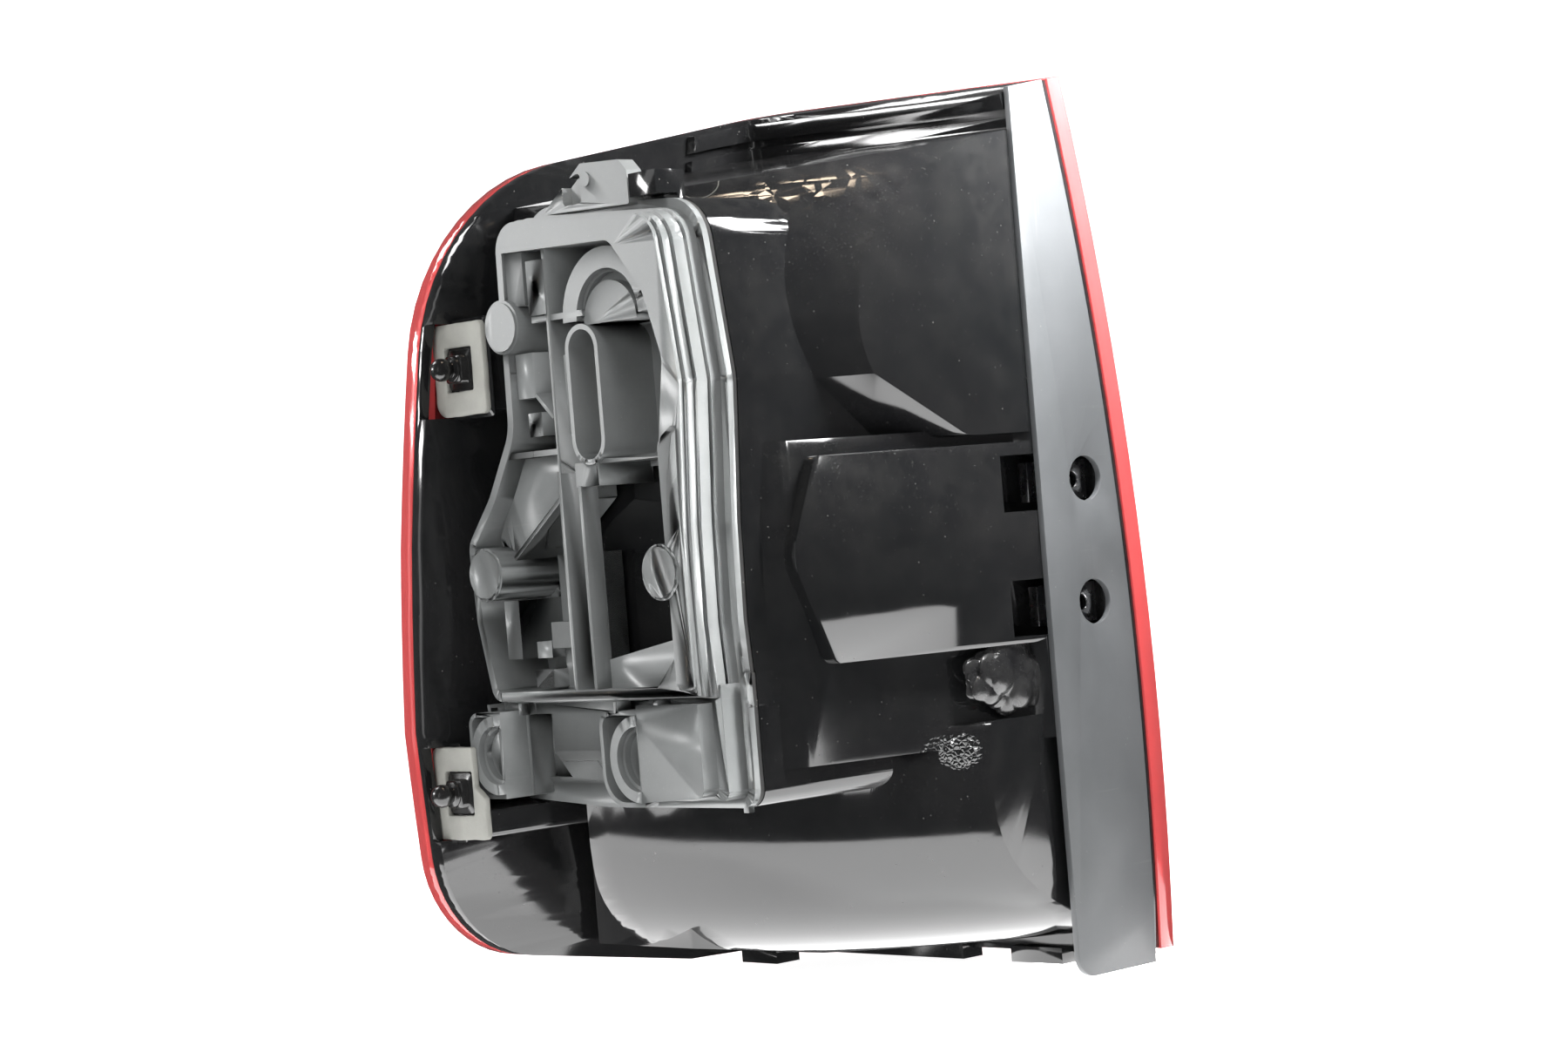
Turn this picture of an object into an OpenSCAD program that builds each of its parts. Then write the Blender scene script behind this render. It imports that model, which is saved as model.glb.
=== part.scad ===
// Right-hand wrap-around tail lamp of a pick-up, seen from its mounting side.
// X points inboard, Y rearward, Z up. The origin lies midway between the two screw seats.

/* [Lamp outline] */
// Height of the lamp's top edge above the screw line, at the inboard side
top_z = 198.5; // [185:1:215]
// Depth of the lamp's bottom edge below the screw line
bottom_z = 180; // [165:1:195]
// Rise of the top edge towards the outboard side, in degrees
top_rise = 3; // [0:0.5:5]
// How far the rear face lies behind the screw line
rear_y = 34.5; // [30:0.5:45]
// How far the outboard face lies from the screw seats
side_x = 208; // [190:1:225]
// How far the outboard wing reaches forward of the screw line
wing_y = 211; // [200:1:225]
// Radius of the rear face as seen from the side
crown_r = 1400; // [1000:50:2400]
// Depth below the screw line of the rearmost point of the crown
crown_low = 90; // [60:5:120]
// Radius of the corner between the rear face and the outboard face
corner_r = 60; // [45:1:75]

/* [Lens] */
// Wall of the red lens
lens_wall = 3; // [2:0.25:4]
// Depth of the lens return around its edge
lens_return = 8; // [6:0.5:12]

/* [Side strip] */
// Depth of the screw seats below the strip's face
seat_depth = 9; // [6:0.5:14]
// Thickness of the strip
strip_wall = 3; // [2:0.25:4]
// Distance from the screw line to the strip's front edge
strip_front = 27.5; // [22:0.5:35]
// Width of the seam between the strip and the lens
seam = 3.5; // [1:0.25:6]
// How far the strip hangs below the lamp
strip_drop = 5; // [0:0.5:8]
// Distance between the two screws
screw_gap = 53; // [46:0.5:70]
// Radius of the access holes in the strip
access_r = 9.7; // [8:0.1:11]
// Radius of the screw holes in the seats
screw_r = 3.4; // [2.5:0.1:4.5]

/* [Housing] */
// Wall of the black housing
wall = 2.6; // [2:0.1:3.5]
// Depth of the rim tray behind the rear face
tray_depth = 30; // [24:1:36]
// Depth of the rim tray inboard of the outboard face
wing_depth = 16; // [12:1:20]
// Height of the rim above the upper chamber
rim_top = 18; // [12:1:24]
// Radius of the lower chamber in plan
drum_r = 300; // [250:10:380]
// Radius of the lower chamber's underside
drum_curl = 65; // [50:1:70]
// Radius of the upper chamber's back
bowl_r = 90; // [80:1:110]
// How far the raised middle panel stands out
panel_rise = 7; // [3:0.5:9]

/* [Bulb carrier] */
// Distance from the screw line to the front of the carrier
carrier_y = 191.5; // [186:0.5:196]
// Depth of the carrier tray
carrier_depth = 30; // [24:1:34]
// Wall of the carrier
carrier_wall = 2.4; // [1.8:0.1:3]
// Thickness of the sealing flange around the carrier
flange_t = 3; // [2:0.25:5]
// How far the carrier's floor sinks below the sealing flange
sink = 9; // [6:0.5:12]
// Width of the sealing flange outside the carrier wall
flange_lip = 4; // [2:0.5:6]
// Thickness of the foam seal
seal_t = 2.5; // [1.5:0.25:4]

/* [Connector] */
// Width of the connector socket opening
socket_w = 17; // [13:0.5:20]
// Height of the connector socket opening
socket_h = 54; // [48:1:60]
// Wall of the connector collar
socket_wall = 2.2; // [1.5:0.1:3]
// Number of terminal blades
blade_count = 6; // [4:1:6]
// Spacing of the terminal blades
blade_pitch = 7; // [5:0.25:8]

/* [Bulbs] */
// Radius of the bulbs' metal base
base_r = 7.5; // [7:0.25:9]
// Length of the bulbs' metal base
base_h = 17; // [14:1:20]
// Radius of the bulbs' glass
glass_r = 12.4; // [10:0.2:13]
// Length of the bulbs' glass beyond the base
glass_h = 30; // [26:1:34]

/* [Locating studs] */
// Radius of the ball
ball_r = 5; // [4:0.25:6]
// Radius of the stud's neck
neck_r = 3.2; // [2.5:0.1:4]
// Distance from the pad to the ball's centre
ball_reach = 9; // [7:0.5:14]
// Width of the foam pads
pad_w = 35; // [30:1:38]
// Height of the foam pads
pad_h = 40; // [34:1:44]
// Thickness of the foam pads
pad_t = 3; // [2:0.5:5]

/* [Hidden] */

// Facets of a bend in an outline, in degrees
bend_step = 7.5;
// A cut runs this far past the face it opens
past = 1;
// Running gap between neighbouring mouldings
gap = 0.3;

inner_x = seat_depth - strip_wall;
crown_z = -crown_low;
axis_x = corner_r - side_x;
axis_y = rear_y - corner_r;
strip_back = lens_return + seam;
web_y = lens_return + gap;
lip = 1.8;
seal_bead = 1.5;

// Planes of the carrier, from the front to the housing wall behind it
front_y = -carrier_y;
floor_t = 2.5;
floor_y = front_y + carrier_depth;
back_y = floor_y + floor_t;
flange_y = back_y - sink;
seat_y = flange_y + seal_t;
track_t = 0.8;
wall_y = back_y + track_t + 0.7;

// Side outline of the lamp in Y and Z, counter-clockwise, with a bend radius at each corner
side_corners = [
    [60, -bottom_z, 0], [60, top_z + 20, 0], [-20, top_z + 6.5, 0], [13 - wing_y, top_z - 26, 88],
    [3 - wing_y, 20, 0], [-wing_y, -60, 0], [6 - wing_y, 24 - bottom_z, 52], [-75, 3 - bottom_z, 0]
];
top_slope = 0.164;

// Edges of the chambers behind the carrier
panel_low = -41;
panel_high = 44;
drum_top = -72;
drum_low = 9 - bottom_z;
drum_axis = [-231.9, 124.4];
bowl_turn = 46;
bowl_y = -72.4;
bowl_z = 100;
bowl_low = 48;
// Profiles that trim the upper chamber's back and its raised half, across the run of its curve
bowl_profile = [
    [220, 260, 0], [-110, 260, 0], [-110, 120, 0], [-70, 77, 0], [-43, bowl_low, 6], [220, bowl_low, 0]
];
raised_profile = [
    [220, 146, 0], [-65, 146, 9], [-80, 100, 0], [-73, 77, 0], [-44, bowl_low - 1, 6], [220, bowl_low - 1, 0]
];
raised_x = -33;
raised_rise = 3;
base_y = -132;
base_x = wing_depth + 8 - side_x;
base_end = -120;

// Carrier outlines in X and Z: the tray, its hollow and the row of latches below it
tray_corners = [
    [-169, -51, 9], [-30, -51, 0], [-32, -20, 0], [-31, 20, 0], [-26.5, 78, 14], [-36, 149, 17],
    [-143, 157, 15], [-144.5, 66, 18], [-161, 40, 30], [-179, 20, 12], [-177, -15, 0]
];
hollow_corners = [
    [-200, -80, 0], [-62, -80, 0], [-62, -49, 3], [-44, -32, 6], [-44, 55, 8], [-38, 88, 10], [-47, 116, 10],
    [-66, 139, 8], [-200, 143, 0]
];
foot_corners = [[-179, -88, 8], [-120, -92, 0], [-30, -92, 4], [-30, -45, 0], [-172, -45, 0], [-179, -54, 6]];
window_corners = [[-136, -33, 2], [-74, -33, 2], [-71, 46, 2], [-131, 46, 2]];
latch_corners = [
    [-127, 156, 1], [-69, 154, 1], [-69, 168, 2], [-74, 173, 2], [-99, 174.5, 2], [-107, 169, 2]
];
latch_notch = [[-112, 158, 2], [-99.5, 158, 2], [-99.5, 171, 2], [-112, 168, 2]];

// Steps of the carrier's side, from the front: depth where each begins, and its inset
tray_steps = [[0, 2.4], [2, 3.8], [3.5, 1.6], [7, 2.8], [8.5, 0.8], [14, 2], [15.2, 0]];
tray_wall = carrier_wall + 3.8;

// Plates, ribs and blocks on the carrier's floor: X from and to, depth of the front, Z from and to
tray_plates = [
    [-111.5, -109.5, 1, 46, 142], [-112.5, -110.5, 1, -48, -33], [-147, -110, 1, 54, 56.5],
    [-137, -125.5, 1.5, 118, 144], [-122, -110.5, 0.5, 113, 136], [-122, -88, 1.5, 110, 112.5],
    [-104.5, -99, 3, 62, 95], [-101, -86, 1.5, 39.5, 49.5], [-88, -44, 3, 48.5, 50.5],
    [-137, -125.5, 3, 79, 98], [-130, -121, 2, 62.5, 72.5], [-132, -111, 13, -48, 12],
    [-130, -116, 5, -27, -16], [-142, -132, 6, -31, -24], [-143, -131, 5, -43.5, -36],
    [-160, -150, 4, -31, -6]
];
// Ribs that cross the window: X from and to, Z from and to
window_ribs = [[-112.5, -110.5, -34, 47], [-99.3, -97.6, -45, 40]];
middle_plate = [[-151, 54, 1], [-111, 54, 0], [-111, 35, 0], [-146, 12, 2], [-168, 18, 4], [-160, 34, 6]];
sill_corners = [[-98, -49.5, 0], [-43, -49.5, 0], [-43, -24, 0], [-98, -33, 0]];
edge_panel = [[-44, -46, 3], [-33, -46, 2], [-34, 20, 0], [-32, 62, 2], [-44, 55, 7]];
end_block = [[-75, -92, 0], [-36, -90, 4], [-36, -52, 0], [-75, -52, 0]];
shroud_corners = [[-101, -94, 14], [-75, -94, 0], [-75, -54, 0], [-101, -54, 7]];
end_shroud = [[-181.5, -90, 12], [-159, -90, 0], [-159, -53, 0], [-181.5, -53, 6]];
shelf_ticks = [-176, -154, -90, -64];

// Catch beside the carrier's latch: X from and to, its front, its underside and its top
catch_x = [-67, -50];
catch_y = -177;
catch_z = [156.3, 166];
// Blocks under the bottom rim as X and Y ranges
rim_blocks = [[-168, -83, -6, 6], [-53, -22, -6, 6], [-190, -166, -44, -30]];

screw_z = [screw_gap / 2, -screw_gap / 2];
clip_t = 0.9;
clip_w = 17;
clip_front = -27;
tab_t = 3;

// Bulb places in X and Z, and the radius of the bowl around each
stop_at = [-86, 118];
turn_at = [-150, -70];
reverse_at = [-127, 56];
fog_at = [-79, -74];
bulbs_at = [stop_at, turn_at, reverse_at, fog_at];
bowls = [[stop_at, 42], [turn_at, 25], [reverse_at, 30], [fog_at, 38]];
holder_h = 9;
holder_wall = 2.2;

// Brass tracks behind the carrier: width, and where each runs past the bulbs
track_w = 5;
common_x = turn_at[0] + 5;
common_z = turn_at[1] + 25;
feed_x = fog_at[0] + 13;
feed_z = stop_at[1] - 30;

socket_at = [-90, 77.5];
caps_at = [[-139, 110], [-164, 6], [-48, 2]];

// Each stud's place in X and Z, and its pad's front plane
stud_upper = [-171, 95, -carrier_y - 2];
stud_lower = [-183, -87, -carrier_y - 11];

// Pad and tower outlines about each stud: the lower ones step round the carrier's foot
four_corners = [[-1, -1], [1, -1], [1, 1], [-1, 1]];
function square_outline() = [for (k = four_corners) [k[0] * pad_w / 2, k[1] * pad_h / 2, 3]];
function stepped_outline(x, z) = [[-pad_w / 2, -pad_h / 2, 3], [pad_w / 2, -pad_h / 2, 3],
    [pad_w / 2, z, 2], [x, z + 4, 1], [x, pad_h / 2, 3], [-pad_w / 2, pad_h / 2, 3]];
upper_pad = square_outline();
lower_pad = stepped_outline(3, -2);
lower_tower = stepped_outline(0.5, -6.5);

function unit(v) = v / norm(v);
function turned(v) = [-v[1], v[0]];
function spun(v, t) = [v[0] * cos(t) - v[1] * sin(t), v[0] * sin(t) + v[1] * cos(t)];
function at(c, i) = let (k = (i + len(c)) % len(c)) [c[k][0], c[k][1]];
function side_of(u, v) = u[0] * v[1] - u[1] * v[0];

// A corner moved inward by t, with its bend radius changed to match
function moved_corner(c, i, t) =
    let (u = unit(at(c, i) - at(c, i - 1)), v = unit(at(c, i + 1) - at(c, i)),
         a = turned(u), b = turned(v), p = at(c, i) + (a + b) * t / (1 + a * b), r = c[i][2])
    [p[0], p[1], r == 0 ? 0 : max(0.01, r + (side_of(u, v) > 0 ? -t : t))];

function moved(c, t) = t == 0 ? c : [for (i = [0 : len(c) - 1]) moved_corner(c, i, t)];

// The points that round off one corner
function bend(c, i) =
    let (p = at(c, i), a = unit(at(c, i - 1) - p), b = unit(at(c, i + 1) - p), r = c[i][2])
    r == 0 ? [p] :
    let (half = acos(a * b) / 2, centre = p + unit(a + b) * r / sin(half),
         first = p + a * r / tan(half) - centre,
         turn = (180 - 2 * half) * (side_of(-a, b) > 0 ? 1 : -1),
         n = max(1, ceil(abs(turn) / bend_step)))
    [for (k = [0 : n]) centre + spun(first, turn * k / n)];

module outline(corners, inset = 0) {
    c = moved(corners, inset);
    polygon([for (i = [0 : len(c) - 1], p = bend(c, i)) p]);
}

// Extrusions of a flat outline along one axis
module along_x(x0, x1) translate([x0, 0, 0]) rotate([90, 0, 90]) linear_extrude(x1 - x0) children();
module along_y(y0, y1) translate([0, y1, 0]) rotate([90, 0, 0]) linear_extrude(y1 - y0) children();
module along_z(z0, z1) translate([0, 0, z0]) linear_extrude(z1 - z0) children();
module rod_y(x, z, y0, y1, r) translate([x, y1, z]) rotate([90, 0, 0]) cylinder(h = y1 - y0, r = r, $fn = 64);
module rod_x(y, z, x0, x1, r) translate([x0, y, z]) rotate([0, 90, 0]) cylinder(h = x1 - x0, r = r, $fn = 64);
module block(x0, x1, y0, y1, z0, z1) translate([x0, y0, z0]) cube([x1 - x0, y1 - y0, z1 - z0]);

// Everything that lies at least inset inside the crowned rear and outboard faces
module crowned(inset = 0) {
    reach = 260;
    module crown(face, to, left = false) {
        centre = left ? face + inset + crown_r : face - inset - crown_r;
        intersection() {
            translate([centre, crown_z]) circle(crown_r, $fn = 720);
            translate([left ? face - 1 : to, -200]) square([left ? to - face + 1 : face - to + 1, 450]);
        }
    }
    along_x(axis_x, seat_depth + 30) crown(rear_y, -reach);
    translate([axis_x, axis_y, 0]) rotate([0, 0, 90]) rotate_extrude(angle = 90, $fn = 96) crown(corner_r, 0);
    along_y(-reach, axis_y) crown(-side_x, 60, true);
}

// The wedge under the sloping top edge
module under_top(inset = 0) {
    translate([seat_depth, 0, 0]) rotate([0, top_rise, 0]) along_x(-300, 60)
        polygon([[-280, -300], [60, -300], [60, top_z + 60 * top_slope - inset],
            [-280, top_z - 280 * top_slope - inset]]);
}

// Everything within the side outline and under the top edge, up to the plane x = inboard
module column(inset = 0, inboard = seat_depth) {
    intersection() {
        along_x(-side_x - 5, inboard) outline(side_corners, inset);
        under_top(inset);
    }
}

// The lamp's outer form
module envelope(inset = 0, inboard = seat_depth) {
    intersection() {
        crowned(inset);
        column(inset, inboard);
    }
}

// The band of a layer that runs around the lamp's edge
module edge_band(from, to, inset, width, inboard) {
    difference() {
        intersection() {
            column(inset, inboard);
            layer(from, to);
        }
        column(inset + width, inboard - width);
    }
}

// The layer between two depths below the crowned faces
module layer(from, to) {
    difference() {
        crowned(from);
        crowned(to);
    }
}

module lens() {
    color([0.75, 0.05, 0.05, 0.85])
    difference() {
        envelope();
        envelope(lens_wall, seat_depth - lens_wall);
        crowned(lens_return);
    }
}

// Everything deeper than the rim tray, which is shallower along the outboard face
module tray_inside(t = 0) translate([0, wing_depth - tray_depth, 0]) crowned(wing_depth + t);

// Seat of the carrier: the tray and the row below it
module seat_shape(grow = 0) {
    outline(tray_corners, -grow);
    outline(foot_corners, -grow);
}

// Solid form of the chambers behind the lamp, inset for the hollow
module chambers(t = 0) {
    drum_corners = [[60, drum_low, 0], [drum_r, drum_low, drum_curl], [drum_r, drum_top, 3],
        [60, drum_top, 0]];
    strip_edge = -strip_front - 1;
    difference() {
        chamber_forms(t, drum_corners, strip_edge);
        along_y(-300, wall_y + t) seat_shape(flange_lip + t);
    }
}

// The upper chamber's curved back, turned towards the lamp's inboard front
module rolled_back(r, profile, t) {
    rotate([0, 0, bowl_turn]) along_x(-400, 200) intersection() {
        translate([bowl_y + bowl_r, bowl_z]) circle(r, $fn = 180);
        outline(profile, t);
    }
}

// Base, bowl, side block, panel and drum, cut to the outline of the lamp
module chamber_forms(t, drum_corners, strip_edge) {
    intersection() {
        along_x(-side_x, inner_x - t) outline(side_corners, 6 + t);
        under_top(rim_top + t);
        union() {
            along_y(wall_y + t, 40) seat_shape(flange_lip - t);
            block(base_x + t, base_end - t, base_y + t, 0, drum_low + 5 + t, 184);
            intersection() {
                union() {
                    rolled_back(bowl_r - t, bowl_profile, t);
                    intersection() {
                        rolled_back(bowl_r + raised_rise - t, raised_profile, t);
                        block(-side_x, raised_x - t, -side_x, 60, bowl_low - 5, 160);
                    }
                }
                along_z(-200, 260) outline([[inner_x, 60, 0], [base_x, 60, 0], [base_x, wall_y, 0],
                    [-13.5, wall_y, 0], [inner_x, strip_edge, 0]], t);
            }
            block(-150, inner_x - t, strip_edge + t, 40, drum_top - 10, 190);
            along_z(drum_top - 10, bowl_low + 3 - t) outline([[inner_x, 60, 0], [base_x + 20, 60, 0],
                [base_x + 20, base_y, 0], [-120, wall_y, 0], [-28, wall_y, 10], [-20, -147, 12], [-3, -33, 5],
                [inner_x, strip_edge, 0]], t);
            intersection() {
                translate([-20, -147, 0]) rotate([0, 0, 81]) along_y(-panel_rise + t, 40)
                    outline([[13, panel_low, 4], [150, panel_low, 0], [150, panel_high, 0],
                        [11, panel_high, 4], [-4, 3, 25]], t);
                along_z(-60, 60) outline([[inner_x, 60, 0], [-200, 60, 0], [-200, -200, 0], [-20, -200, 0],
                    [inner_x, strip_edge, 0]], t);
            }
            intersection() {
                translate([drum_axis[0], drum_axis[1], 0]) rotate([0, 0, -80])
                    rotate_extrude(angle = 60, $fn = 180) outline(drum_corners, t);
                along_z(-200, 0) outline([[2, 60, 0], [-170, 60, 0], [-170, -260, 0], [2, -260, 0]], t);
                rotate([0, 0, 34]) along_y(-300, 200)
                    outline([[-212, drum_low - 2, 45], [60, drum_low - 2, 0], [60, 0, 0], [-212, 0, 0]], t);
            }
        }
    }
}

// Raised band on the floor of the rim tray along the lamp's top edge
module rim_ledge(from, to, rise) {
    intersection() {
        difference() {
            tray_inside();
            tray_inside(rise);
        }
        difference() {
            column(from, inner_x);
            column(to, inner_x + past);
        }
        block(-165, inner_x - past, -60, rear_y, 150, top_z + 20);
    }
}

// Pocket in the side wall that holds one screw seat
module pocket(z, grow = 0) {
    block(-9 - grow, inner_x + (grow > 0 ? 0 : past), -45, 12 + grow, z - 12 - grow, z + 12 + grow);
}

// Hollow tower that carries one locating stud
module stud_tower(stud, corners) {
    front = stud[2] + pad_t;
    translate([stud[0], 0, stud[1]]) difference() {
        along_y(front, base_y + wall) outline(corners, 1);
        along_y(front + wall, base_y + past) outline(corners, 1 + wall);
    }
}

// Black moulding: rim tray, chambers, carrier seat, screw seats and stud towers
module housing() {
    web_inset = lens_wall + gap + lip;
    tongue_x = seat_depth - lens_wall - gap;
    color([0.06, 0.06, 0.07]) difference() {
        union() {
            difference() {
                intersection() {
                    envelope(0, inner_x);
                    layer(lens_return + gap, tray_depth + 20);
                }
                tray_inside();
                difference() {
                    envelope(wall, inner_x - wall);
                    tray_inside(-wall);
                }
                chambers(wall);
                for (s = [[stud_upper, upper_pad], [stud_lower, lower_pad]]) translate([s[0][0], 0, s[0][1]])
                    along_y(-wing_y - past, s[0][2] + pad_t) outline(s[1], -gap);
            }
            edge_band(lens_wall + seal_bead, web_y + wall, lens_wall + gap, lip, tongue_x);
            edge_band(web_y, web_y + wall, 0, web_inset, inner_x);
            intersection() {
                along_x(inner_x - wall, seat_depth - 1) outline(side_corners, 0.5);
                layer(web_y, strip_back - gap);
                under_top(0.5);
            }
            difference() {
                intersection() {
                    chambers();
                    tray_inside(-wall);
                }
                chambers(wall);
            }
            difference() {
                along_y(seat_y, wall_y + 1) seat_shape(flange_lip);
                along_y(seat_y - past, wall_y + 2) seat_shape(0.5);
            }
            for (z = screw_z) intersection() {
                pocket(z, wall);
                chambers();
            }
            stud_tower(stud_upper, upper_pad);
            stud_tower(stud_lower, lower_tower);
            rim_ledge(wall - 0.5, 9.5, 5);
            rim_ledge(13, rim_top + 2, 4);
            block(catch_x[0], catch_x[1], catch_y, seat_y + 2, catch_z[0], catch_z[1]);
            block(catch_x[0], catch_x[1], seat_y, seat_y + 4, catch_z[0] - 3.5, catch_z[1]);
            for (b = rim_blocks) block(b[0], b[1], b[2], b[3], -bottom_z - 3, 4 - bottom_z);
        }
        block(-92, -77, -10, 1, 196.5, 200.5);
        for (z = screw_z) difference() {
            pocket(z);
            difference() {
                block(-tab_t, 0, clip_front + 2.5, 12 + past, z - 8, z + 8);
                rod_x(0, z, -tab_t - past, past, screw_r);
            }
        }
        for (p = bulbs_at) rod_y(p[0], p[1], wall_y - past, wall_y + wall + past, glass_r + 2.5);
    }
}

module side_strip() {
    color([0.45, 0.46, 0.47]) difference() {
        intersection() {
            along_x(inner_x, seat_depth) outline([[-strip_front, -bottom_z - strip_drop, 9],
                [60, -bottom_z - strip_drop + 1, 0], [60, top_z + 30, 0], [-strip_front, top_z + 30, 0]]);
            crowned(strip_back);
            under_top();
        }
        for (z = screw_z) rod_x(0, z, inner_x - past, seat_depth + past, access_r);
    }
}

// Spring-steel nuts clipped over the screw seats
module clip_nuts() {
    color([0.8, 0.8, 0.82]) for (z = screw_z) difference() {
        union() {
            block(-tab_t - clip_t, clip_t, clip_front, clip_front + 2, z - clip_w / 2, z + clip_w / 2);
            block(0, clip_t, clip_front, 9, z - clip_w / 2, z + clip_w / 2);
            block(-tab_t - clip_t, -tab_t, clip_front, 9, z - clip_w / 2, z + clip_w / 2);
            rod_x(0, z, -8, -tab_t, 5.2);
        }
        rod_x(0, z, -9, 2, screw_r + 0.1);
    }
}

// Bead of glue between the lens and the housing's tongue
module lens_seal() {
    color([0.1, 0.1, 0.1])
        edge_band(lens_wall, lens_wall + seal_bead, lens_wall + gap, lip, seat_depth - lens_wall - gap);
}

// One reflector bowl around a bulb, open towards the lens
module bowl(p, r, t = 0) {
    y0 = back_y + base_h + 8;
    y1 = rear_y - lens_return;
    neck = glass_r + 1;
    depth = y1 - y0;
    arc = (depth * depth + (r - neck) * (r - neck)) / (2 * (r - neck));
    translate([p[0], 0, p[1]]) rotate([-90, 0, 0]) rotate_extrude($fn = 72) intersection() {
        translate([r - arc, y1]) circle(arc + t, $fn = 720);
        translate([0, y0]) square([r + 20, depth]);
    }
}

module reflector() {
    plate = web_y + wall + gap;
    color([0.85, 0.85, 0.87]) difference() {
        union() {
            intersection() {
                envelope(wall + gap, inner_x - wall - gap);
                layer(plate, plate + 2);
                block(-side_x, inner_x, base_y + wall + gap, rear_y, -bottom_z, top_z + 20);
            }
            for (b = bowls) intersection() {
                bowl(b[0], b[1], 1.6);
                crowned(plate);
            }
        }
        for (b = bowls) bowl(b[0], b[1]);
    }
}

// Half disc standing on the carrier floor, round towards the given angle
module half_disc(at, r, y0, y1, towards) {
    translate([at[0], 0, at[1]]) rotate([0, -towards, 0]) intersection() {
        rod_y(0, 0, y0, y1, r);
        block(0, r + 1, y0 - 1, y1 + 1, -r - 1, r + 1);
    }
}

// Half-round hood: a rim around a sunk face
module hood(at, r, rim, towards, y0, y1) {
    difference() {
        half_disc(at, r, y0, y1, towards);
        half_disc(at, r - rim, y0 - past, y0 + 3, towards);
        half_disc(at, r - rim - 1.5, y0, y0 + 6, towards);
    }
}

module round_cap(at) {
    rod_y(at[0], at[1], front_y - 1.5, floor_y, 11.5);
    rod_y(at[0], at[1], front_y - 2.5, floor_y, 10.3);
}

// Slanted rib on the floor that starts at a point and runs up or down at an angle
module slant_rib(at, length, angle, t, y0) {
    translate([at[0], 0, at[1]]) rotate([0, -angle, 0]) block(0, length, y0, floor_y + past, -t / 2, t / 2);
}

module socket_outline(grow) {
    w = socket_w / 2 + grow;
    h = socket_h / 2 + grow;
    outline([for (k = four_corners) [socket_at[0] + k[0] * w, socket_at[1] + k[1] * h, w - 0.1]]);
}

module carrier_solid() {
    for (i = [0 : len(tray_steps) - 1]) {
        to = i + 1 < len(tray_steps) ? tray_steps[i + 1][0] : back_y - front_y;
        along_y(front_y + tray_steps[i][0], front_y + to) outline(tray_corners, tray_steps[i][1]);
    }
    along_y(front_y + 10, back_y) outline(foot_corners);
    along_y(front_y + 2, front_y + 10) outline(end_block);
    along_y(front_y + 3, front_y + 10) outline(shroud_corners);
    along_y(front_y - 4, flange_y) outline(end_shroud);
    along_y(front_y - 1.2, front_y + 2) outline(edge_panel);
    for (x = shelf_ticks) block(x, x + 2.4, front_y + 2.5, front_y + 10, -55, -50);
    along_y(flange_y - flange_t, flange_y) seat_shape(flange_lip);
    block(-34, -31, flange_y - flange_t, flange_y, -98, -90);
    for (p = bulbs_at) rod_y(p[0], p[1], back_y - past, back_y + holder_h, base_r + holder_wall);
}

// Everything that stands inside the tray, from its floor
module carrier_details() {
    for (p = tray_plates) block(p[0], p[1], front_y + p[2], floor_y + past, p[3], p[4]);
    for (r = window_ribs) block(r[0], r[1], front_y + 1, front_y + 10, r[2], r[3]);
    along_y(front_y + 10, floor_y + past) outline(middle_plate);
    along_y(front_y + 9, floor_y + past) outline(sill_corners);
    slant_rib([-146, 12], 41, 34.4, 2, front_y + 1);
    slant_rib([-124, 80], 15, -43.7, 1.6, front_y + 2);
    hood([-72, 108], 29, 9, 90, front_y + 1.5, floor_y + past);
    half_disc([-72, 106], 17, front_y + 3, floor_y + past, 90);
}

// Grey moulding that carries the bulbs: a stepped tray, a row of latches below it and a sealing flange
module bulb_carrier() {
    tray_floor = floor_y + past;
    flange_front = flange_y - flange_t;
    row_front = front_y + 8;
    color([0.4, 0.41, 0.42]) {
        difference() {
            carrier_solid();
            along_y(front_y - 2, floor_y) intersection() {
                outline(tray_corners, tray_wall);
                outline(hollow_corners);
            }
            along_y(front_y - 2, floor_y + 5) outline(window_corners);
            along_y(front_y - 5, floor_y) outline(end_shroud, 1.8);
            along_y(front_y + 1, floor_y) outline(shroud_corners, 2);
            block(-157, -141, front_y + 9, floor_y - 8, -83, -55);
            along_x(-157, -101) polygon([[row_front, -71], [row_front + 2, -71], [flange_front, -86],
                [flange_front, -100], [row_front, -100]]);
            for (p = bulbs_at) rod_y(p[0], p[1], back_y, back_y + holder_h + past, base_r + 0.15);
        }
        intersection() {
            carrier_details();
            along_y(front_y, tray_floor) intersection() {
                outline(tray_corners, tray_wall - past);
                outline(hollow_corners, -past);
            }
        }
        difference() {
            along_y(front_y + 1, tray_floor) socket_outline(socket_wall);
            along_y(front_y, floor_y - 3) socket_outline(0);
        }
        difference() {
            union() {
                for (c = caps_at) round_cap(c);
                hood([-159, -71], 17, 4.5, 180, front_y - 7.7, tray_floor);
                hood([-75, -74], 18, 4.5, 180, front_y + 1, tray_floor);
            }
            difference() {
                block(-side_x, 0, flange_y, back_y + past, -bottom_z, top_z);
                along_y(flange_y - past, back_y + 2) seat_shape();
            }
        }
        difference() {
            along_y(flange_y - 8, flange_y) outline(latch_corners);
            along_y(flange_y - 9, flange_y - 3) outline(latch_notch);
        }
        rod_y(-95.5, 167.5, flange_y - 9, flange_y - 2, 3);
    }
}

module carrier_seal() {
    color([0.12, 0.12, 0.12]) along_y(flange_y, seat_y) difference() {
        seat_shape(flange_lip - 0.4);
        seat_shape(0.6);
    }
}

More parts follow.
